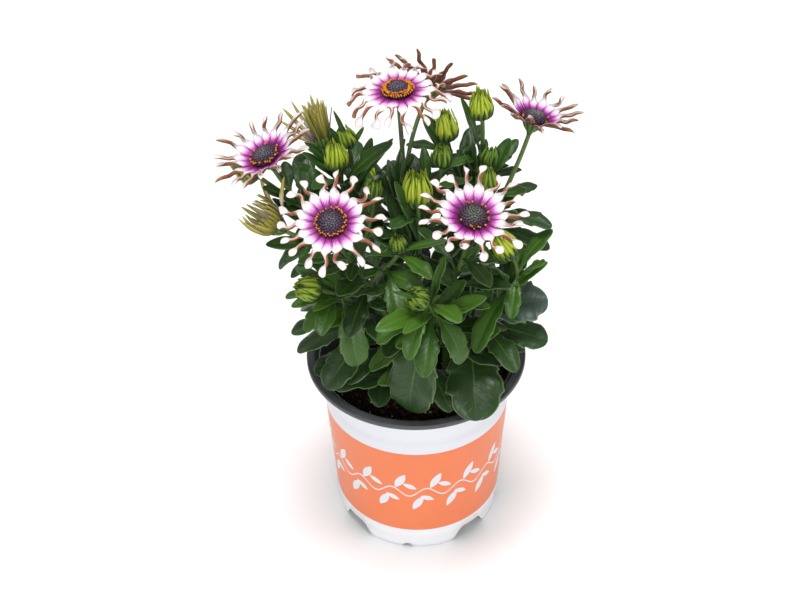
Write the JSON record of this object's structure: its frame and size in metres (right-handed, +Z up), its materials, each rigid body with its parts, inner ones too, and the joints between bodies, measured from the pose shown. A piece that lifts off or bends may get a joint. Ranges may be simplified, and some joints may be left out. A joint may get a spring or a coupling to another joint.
{
  "type": "potted osteospermum",
  "caption": "Osteospermum with spoon-shaped petals, buds and closing flowers on leafy stems, rooted in peat in a round tapered nursery pot that stands on its base.",
  "frame": {"origin": "centre of the pot's base, on the surface that the pot stands on", "axes": "+Z up along the pot's axis, -Y towards the front, +X to the right seen from the front"},
  "size_m": [0.1795, 0.1366, 0.2723],
  "materials": {
    "pot": "satin white thermoformed plastic with a printed orange band, dark grey rim and black inside",
    "peat": "moist crumbly brown peat with fibres",
    "leaf": "soft waxy green leaves and stems, paler along midrib and margin",
    "petal": "white petals, magenta at the foot, copper brown under their narrow necks",
    "closing_petal": "olive and brown undersides of rolled petals",
    "disc": "slate purple florets with an orange ring of anthers",
    "bud": "lime green bracts with dark gaps"
  },
  "bodies": {
    "root": {"pot": "pot", "peat": "peat", "stem_back": "leaf", "stem_back_left": "leaf", "stem_back_right": "leaf", "stem_centre": "leaf", "stem_front": "leaf", "stem_front_left": "leaf", "stem_front_right": "leaf", "stem_left": "leaf", "stem_low_left": "leaf", "stem_low_right": "leaf", "stem_middle": "leaf", "stem_right": "leaf", "flower_closed_petals": "closing_petal", "flower_fading_petals": "closing_petal", "flower_front_left_disc": "disc", "flower_front_left_petals": "petal", "flower_front_right_disc": "disc", "flower_front_right_petals": "petal", "flower_left_disc": "disc", "flower_left_petals": "petal", "flower_right_disc": "disc", "flower_right_petals": "petal", "flower_top_back_disc": "disc", "flower_top_back_petals": "petal", "flower_top_disc": "disc", "flower_top_petals": "petal", "bud_back_left": "bud", "bud_back_left_far": "bud", "bud_behind_right": "bud", "bud_centre": "bud", "bud_front": "bud", "bud_green": "bud", "bud_highest": "bud", "bud_left": "bud", "bud_low_left": "bud", "bud_low_right": "bud", "bud_rear_left": "bud", "bud_rear_right": "bud", "bud_round_right": "bud", "bud_small_front": "bud", "bud_small_middle": "bud", "bud_top_right": "bud"}
  },
  "joints": []
}
